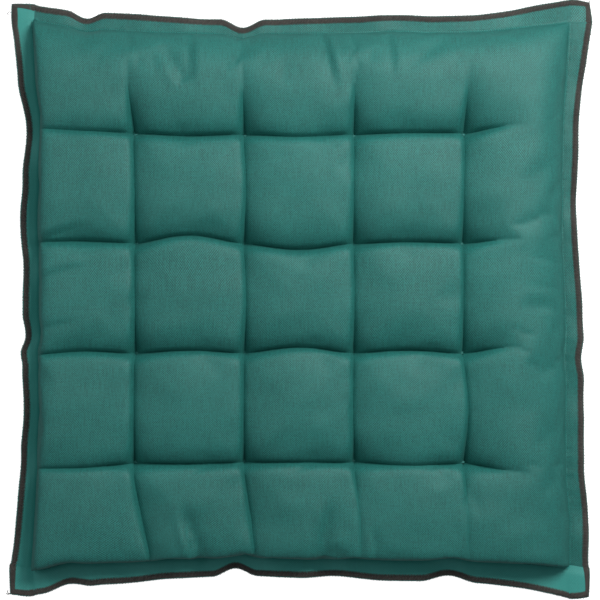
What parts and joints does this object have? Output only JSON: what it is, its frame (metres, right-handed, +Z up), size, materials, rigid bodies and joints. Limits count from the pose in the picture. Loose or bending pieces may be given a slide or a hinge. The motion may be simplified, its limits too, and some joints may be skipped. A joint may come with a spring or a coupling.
{
  "type": "floor cushion",
  "caption": "Flat square tufted floor cushion with a flange and a contrasting overlocked edge.",
  "frame": {"origin": "middle of the footprint, on the surface that the cushion rests on", "axes": "+Z up through the thickness, +X to the right and +Y to the back as the cushion is seen from above"},
  "size_m": [0.4018, 0.4078, 0.0499],
  "materials": {
    "cover_cloth": "matte",
    "sewing_thread": "matte",
    "overlock_thread": "matte",
    "filling": "matte"
  },
  "bodies": {
    "root": {"top_cover": "cover_cloth", "bottom_cover": "cover_cloth", "filling_upper": "filling", "filling_lower": "filling", "flange_seam": "sewing_thread", "overlock_edge": "overlock_thread", "tuft_tie_r1_c1": "sewing_thread", "tuft_tie_r1_c2": "sewing_thread", "tuft_tie_r1_c3": "sewing_thread", "tuft_tie_r1_c4": "sewing_thread", "tuft_tie_r2_c1": "sewing_thread", "tuft_tie_r2_c2": "sewing_thread", "tuft_tie_r2_c3": "sewing_thread", "tuft_tie_r2_c4": "sewing_thread", "tuft_tie_r3_c1": "sewing_thread", "tuft_tie_r3_c2": "sewing_thread", "tuft_tie_r3_c3": "sewing_thread", "tuft_tie_r3_c4": "sewing_thread", "tuft_tie_r4_c1": "sewing_thread", "tuft_tie_r4_c2": "sewing_thread", "tuft_tie_r4_c3": "sewing_thread", "tuft_tie_r4_c4": "sewing_thread"}
  },
  "joints": []
}
